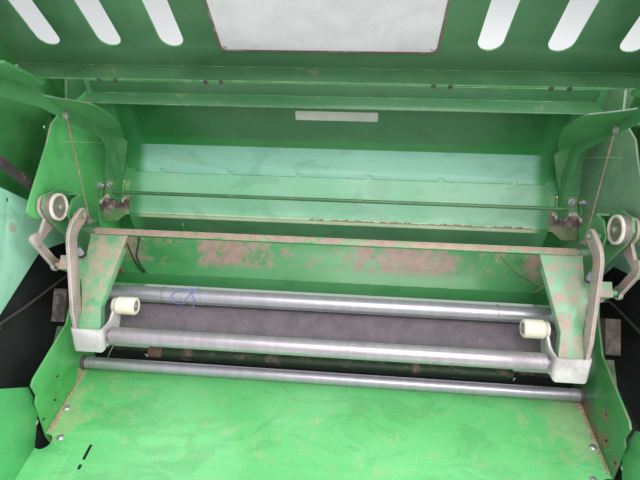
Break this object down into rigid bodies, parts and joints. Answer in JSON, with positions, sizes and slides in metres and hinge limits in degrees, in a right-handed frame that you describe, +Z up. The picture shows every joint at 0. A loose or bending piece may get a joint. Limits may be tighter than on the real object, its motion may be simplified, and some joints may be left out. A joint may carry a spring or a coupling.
{
  "type": "net wrap unit of a round baler",
  "caption": "Net wrap unit of a round baler, hood held open: roll cradle, brake frame hung on curved straps, feed rollers, tray and gas struts between side walls.",
  "frame": {"origin": "centre of the four bolts that hold the unit to the tailgate, in the back face of its side flanges", "axes": "+X to the right seen from behind the baler, +Y forwards into the baler, +Z up"},
  "size_m": [1.496, 0.7983, 1.2057],
  "materials": {
    "green_paint": "gloss paint, dusty",
    "bright_green_paint": "gloss paint, worn",
    "pale_green_paint": "gloss paint",
    "dusty_green_paint": "gloss paint under dry crop dust",
    "dark_green_paint": "gloss paint",
    "mint_paint": "gloss paint in full sun",
    "dark_metal": "rough",
    "blank_plate": "matte",
    "strut_black": "dusty black paint",
    "polished_steel": "polished by the net",
    "grey_metal": "grey coat, dusty",
    "cream_plastic": "matte",
    "guard_black": "matte, dusty",
    "black_rubber": "matte, dusty"
  },
  "bodies": {
    "housing": {"side_wall_left": "green_paint", "side_wall_right": "green_paint", "tray": "bright_green_paint", "tray_wing_left": "bright_green_paint", "tray_wing_right": "bright_green_paint", "cradle_sheet": "pale_green_paint", "back_panel": "pale_green_paint", "top_flange": "green_paint", "deflector": "dusty_green_paint", "gusset_left": "dark_green_paint", "gusset_right": "dark_green_paint", "hinge_bracket_left": "dark_metal", "hinge_bracket_right": "dark_metal", "side_cover_left": "mint_paint", "side_cover_right": "mint_paint", "side_shell_left": "dark_green_paint", "side_shell_right": "dark_green_paint", "guard_left": "guard_black", "guard_right": "guard_black"},
    "hood": {"hood_panel": "dark_green_paint", "hood_plate": "blank_plate", "hood_side_left": "dark_green_paint", "hood_side_right": "dark_green_paint", "hood_arm_left": "green_paint", "hood_arm_right": "green_paint", "hood_rod": "dark_green_paint"},
    "brake_frame": {"strap_left": "grey_metal", "strap_right": "grey_metal", "brake_bracket_left": "grey_metal", "brake_bracket_right": "grey_metal", "brake_arm_left": "dusty_green_paint", "brake_arm_right": "dusty_green_paint", "cross_bar": "dusty_green_paint"},
    "mid_tube": {"mid_tube": "polished_steel"},
    "lower_roller": {"lower_roller": "polished_steel"},
    "upper_tube": {"upper_tube": "polished_steel"},
    "rubber_roller": {"rubber_roller": "black_rubber"},
    "rear_roller": {"rear_roller": "polished_steel"},
    "strut_barrel_left": {"strut_barrel_left": "strut_black"},
    "strut_rod_left": {"strut_rod_left": "polished_steel"},
    "guide_roller_left": {"guide_roller_left": "cream_plastic"},
    "disc_left": {"disc_left": "grey_metal"},
    "lever_left": {"lever_left": "grey_metal"},
    "link_left": {"link_left": "grey_metal"},
    "strut_barrel_right": {"strut_barrel_right": "strut_black"},
    "strut_rod_right": {"strut_rod_right": "polished_steel"},
    "guide_roller_right": {"guide_roller_right": "cream_plastic"},
    "disc_right": {"disc_right": "grey_metal"},
    "lever_right": {"lever_right": "grey_metal"},
    "link_right": {"link_right": "grey_metal"}
  },
  "joints": [
    {"name": "hood_hinge", "type": "hinge", "parent": "housing", "child": "hood", "pos_m": [0, -0.097, 0.112], "axis": [1, 0, 0], "range_deg": [0, 45]},
    {"name": "brake_hinge", "type": "hinge", "parent": "housing", "child": "brake_frame", "pos_m": [0, -0.304, 0.204], "axis": [1, 0, 0], "range_deg": [-35, 0]},
    {"name": "strut_swing_left", "type": "hinge", "parent": "housing", "child": "strut_barrel_left", "pos_m": [-0.68, -0.215, 0.122], "axis": [1, 0, 0], "range_deg": [0, 54.2]},
    {"name": "strut_stroke_left", "type": "slide", "parent": "strut_barrel_left", "child": "strut_rod_left", "axis": [0, -0.4852, 0.8744], "range_m": [-0.0515, 0]},
    {"name": "lever_turn_left", "type": "hinge", "parent": "housing", "child": "lever_left", "pos_m": [-0.647, -0.331, 0.246], "axis": [1, 0, 0], "range_deg": [-45.2, 0]},
    {"name": "link_turn_left", "type": "hinge", "parent": "lever_left", "child": "link_left", "pos_m": [-0.655, -0.4, 0.204], "axis": [1, 0, 0], "range_deg": [0, 26.2]},
    {"name": "disc_turn_left", "type": "hinge", "parent": "housing", "child": "disc_left", "pos_m": [-0.622, -0.331, 0.246], "axis": [1, 0, 0], "continuous": true},
    {"name": "guide_turn_left", "type": "hinge", "parent": "brake_frame", "child": "guide_roller_left", "pos_m": [-0.492, -0.404, 0.001], "axis": [1, 0, 0], "continuous": true},
    {"name": "strut_swing_right", "type": "hinge", "parent": "housing", "child": "strut_barrel_right", "pos_m": [0.68, -0.215, 0.122], "axis": [1, 0, 0], "range_deg": [0, 54.2]},
    {"name": "strut_stroke_right", "type": "slide", "parent": "strut_barrel_right", "child": "strut_rod_right", "axis": [0, -0.4852, 0.8744], "range_m": [-0.0515, 0]},
    {"name": "lever_turn_right", "type": "hinge", "parent": "housing", "child": "lever_right", "pos_m": [0.647, -0.331, 0.246], "axis": [1, 0, 0], "range_deg": [-45.2, 0]},
    {"name": "link_turn_right", "type": "hinge", "parent": "lever_right", "child": "link_right", "pos_m": [0.655, -0.4, 0.204], "axis": [1, 0, 0], "range_deg": [0, 26.2]},
    {"name": "disc_turn_right", "type": "hinge", "parent": "housing", "child": "disc_right", "pos_m": [0.622, -0.331, 0.246], "axis": [1, 0, 0], "continuous": true},
    {"name": "guide_turn_right", "type": "hinge", "parent": "brake_frame", "child": "guide_roller_right", "pos_m": [0.492, -0.404, 0.001], "axis": [1, 0, 0], "continuous": true},
    {"name": "mid_tube_turn", "type": "hinge", "parent": "brake_frame", "child": "mid_tube", "pos_m": [0, -0.475, -0.028], "axis": [1, 0, 0], "continuous": true},
    {"name": "lower_roller_turn", "type": "hinge", "parent": "housing", "child": "lower_roller", "pos_m": [0, -0.442, -0.196], "axis": [1, 0, 0], "continuous": true},
    {"name": "upper_tube_turn", "type": "hinge", "parent": "housing", "child": "upper_tube", "pos_m": [0, -0.325, -0.038], "axis": [1, 0, 0], "continuous": true},
    {"name": "rubber_roller_turn", "type": "hinge", "parent": "housing", "child": "rubber_roller", "pos_m": [0, -0.359, -0.109], "axis": [1, 0, 0], "continuous": true},
    {"name": "rear_roller_turn", "type": "hinge", "parent": "housing", "child": "rear_roller", "pos_m": [0, -0.362, -0.238], "axis": [1, 0, 0], "continuous": true}
  ],
  "couplings": [
    {"joint": "strut_swing_left", "follows": "hood_hinge", "ratio": 1.196},
    {"joint": "strut_stroke_left", "follows": "hood_hinge", "m_per_rad": -0.0644},
    {"joint": "lever_turn_left", "follows": "brake_hinge", "ratio": 1.284},
    {"joint": "link_turn_left", "follows": "brake_hinge", "ratio": -0.74},
    {"joint": "strut_swing_right", "follows": "hood_hinge", "ratio": 1.196},
    {"joint": "strut_stroke_right", "follows": "hood_hinge", "m_per_rad": -0.0644},
    {"joint": "lever_turn_right", "follows": "brake_hinge", "ratio": 1.284},
    {"joint": "link_turn_right", "follows": "brake_hinge", "ratio": -0.74}
  ]
}
